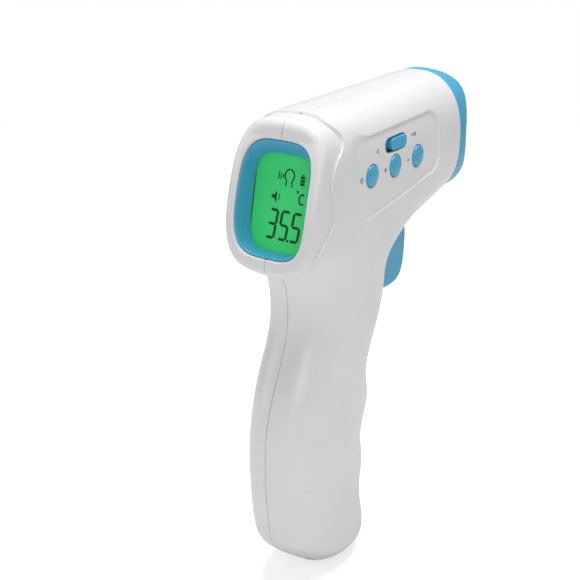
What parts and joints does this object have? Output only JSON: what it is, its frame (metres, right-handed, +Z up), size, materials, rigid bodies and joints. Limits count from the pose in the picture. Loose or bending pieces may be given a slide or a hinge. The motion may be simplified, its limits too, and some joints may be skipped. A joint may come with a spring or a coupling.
{
  "type": "infrared thermometer",
  "caption": "Pistol-grip infrared forehead thermometer with a rear display, side keys, slide switch, trigger, sensing nose and hinged battery door.",
  "frame": {"origin": "centre of the flat sole at the bottom of the handle", "axes": "+Z up along the handle, +Y the way the nose points, +X the side with the keys"},
  "size_m": [0.0344, 0.0983, 0.154],
  "materials": {
    "housing_white": "satin gloss, moulded",
    "accent_blue": "satin, moulded in colour",
    "lcd_green": "lit liquid-crystal panel",
    "diffuser_white": "milky light guide",
    "board_green": "solder-resist over glass fibre",
    "dark_plastic": "moulded black",
    "plated_steel": "nickel plated",
    "tray_grey": "moulded grey",
    "cell_sleeve": "plain printed-film sleeve",
    "lead_red": "insulated wire",
    "lead_black": "insulated wire"
  },
  "bodies": {
    "body": {"battery_1": "cell_sleeve", "battery_2": "cell_sleeve", "battery_lead_black": "lead_black", "battery_lead_red": "lead_red", "battery_tray": "tray_grey", "buzzer": "dark_plastic", "contact_bridge": "plated_steel", "contact_negative": "plated_steel", "contact_positive": "plated_steel", "controller_chip": "dark_plastic", "display_board": "board_green", "housing_left": "housing_white", "housing_right": "housing_white", "lcd_backlight": "diffuser_white", "lcd_frame": "accent_blue", "lcd_glass": "lcd_green", "main_board": "board_green", "nose_cap": "accent_blue", "screw_grip_lower": "plated_steel", "screw_grip_middle": "plated_steel", "screw_neck": "plated_steel", "screw_nose_lower": "plated_steel", "screw_top_front": "plated_steel", "screw_top_rear": "plated_steel", "sensor_barrel": "dark_plastic", "sensor_board": "board_green", "sensor_cable": "tray_grey", "sensor_can": "plated_steel", "sensor_window": "dark_plastic", "slide_switch": "plated_steel", "spring_lower": "plated_steel", "spring_upper": "plated_steel", "tact_switch_1": "dark_plastic", "tact_switch_2": "dark_plastic", "tact_switch_3": "dark_plastic", "trigger_board": "board_green", "trigger_switch": "dark_plastic"},
    "trigger_body": {"trigger": "accent_blue"},
    "mode_slider_body": {"mode_slider": "accent_blue"},
    "key_set_body": {"key_set": "accent_blue"},
    "key_up_body": {"key_up": "accent_blue"},
    "key_down_body": {"key_down": "accent_blue"},
    "battery_door_body": {"battery_door": "housing_white"}
  },
  "joints": [
    {"name": "trigger_pull", "type": "hinge", "parent": "body", "child": "trigger_body", "pos_m": [0, 0.0455, 0.1102], "axis": [1, 0, 0], "range_deg": [-4.5, 0]},
    {"name": "mode_slide", "type": "slide", "parent": "body", "child": "mode_slider_body", "axis": [0, 1, 0], "range_m": [-0.0032, 0]},
    {"name": "key_set_press", "type": "slide", "parent": "body", "child": "key_set_body", "axis": [-1, 0, 0], "range_m": [0, 0.0006]},
    {"name": "key_up_press", "type": "slide", "parent": "body", "child": "key_up_body", "axis": [-1, 0, 0], "range_m": [0, 0.0006]},
    {"name": "key_down_press", "type": "slide", "parent": "body", "child": "key_down_body", "axis": [-1, 0, 0], "range_m": [0, 0.0006]},
    {"name": "battery_door_swing", "type": "hinge", "parent": "body", "child": "battery_door_body", "pos_m": [0, 0.0217, 0.011], "axis": [1, 0, 0], "range_deg": [-80, 0]}
  ]
}
